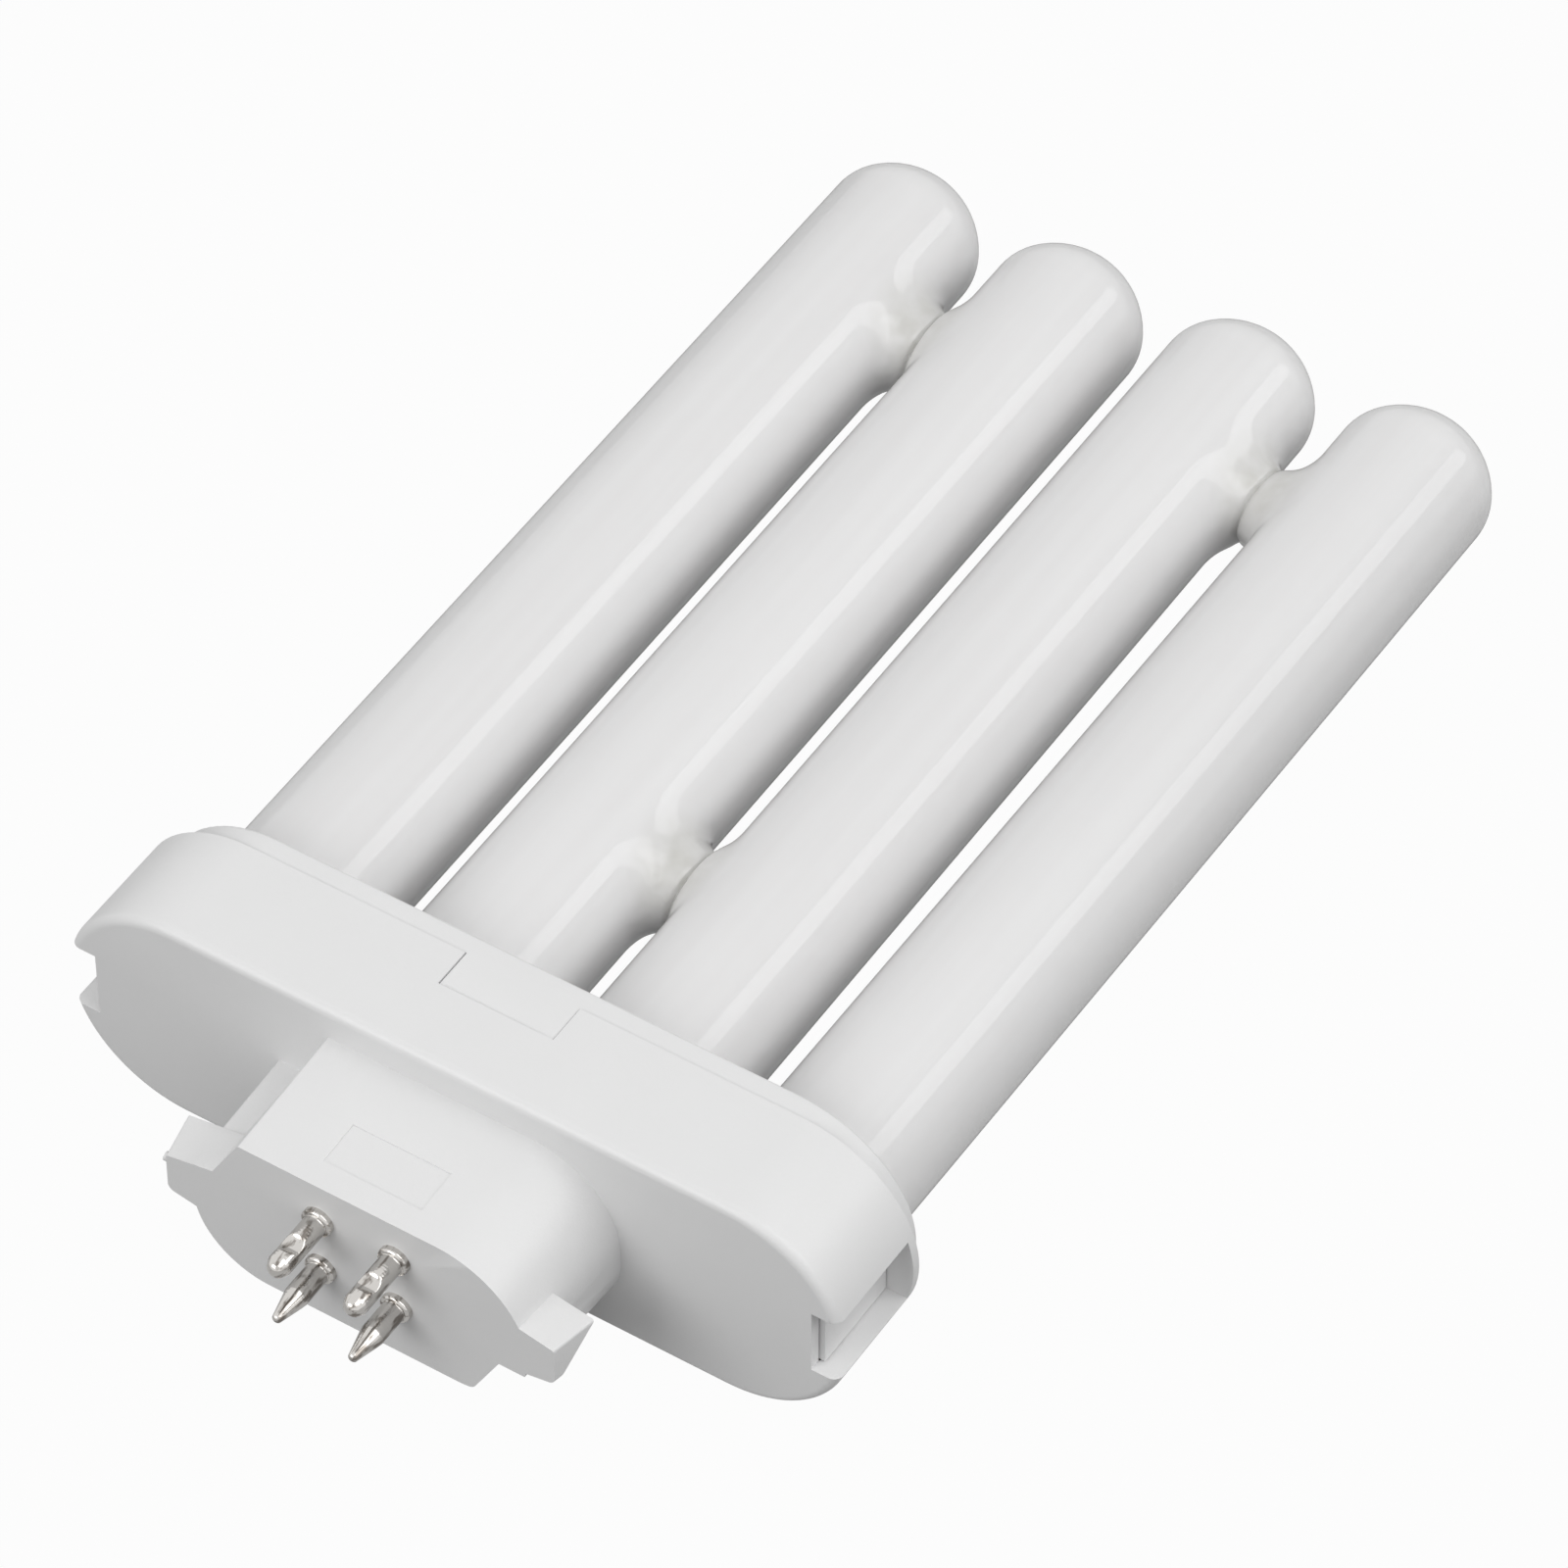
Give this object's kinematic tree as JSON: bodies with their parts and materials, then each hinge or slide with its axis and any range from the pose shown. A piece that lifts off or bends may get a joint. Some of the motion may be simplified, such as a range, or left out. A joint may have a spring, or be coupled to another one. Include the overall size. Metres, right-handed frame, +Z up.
{
  "type": "four pin compact fluorescent lamp",
  "caption": "Compact fluorescent lamp with parallel glass tubes in one flat row, a round-ended plastic cap and a keyed plug with contact pins.",
  "frame": {"origin": "centre of the four contact pins, on the front face of the plug", "axes": "+X along the row of tubes, +Y from the pins towards the tube tips, +Z up out of the row's plane"},
  "size_m": [0.0814, 0.1454, 0.0242],
  "materials": {
    "coated_glass": "clear glass over a white phosphor coat inside",
    "holder_plastic": "fine matt moulded",
    "shell_plastic": "fine matt moulded",
    "cement": "cast, dull",
    "pin_metal": "bright nickel plate",
    "wire_metal": "drawn nickel wire"
  },
  "bodies": {
    "root": {"discharge_tube": "coated_glass", "tube_holder": "holder_plastic", "cap_shell": "shell_plastic", "socket_cement_1": "cement", "socket_cement_2": "cement", "socket_cement_3": "cement", "socket_cement_4": "cement", "contact_pin_1": "pin_metal", "contact_pin_2": "pin_metal", "contact_pin_3": "pin_metal", "contact_pin_4": "pin_metal", "lead_wire_1": "wire_metal", "lead_wire_2": "wire_metal", "lead_wire_3": "wire_metal", "lead_wire_4": "wire_metal"}
  },
  "joints": []
}
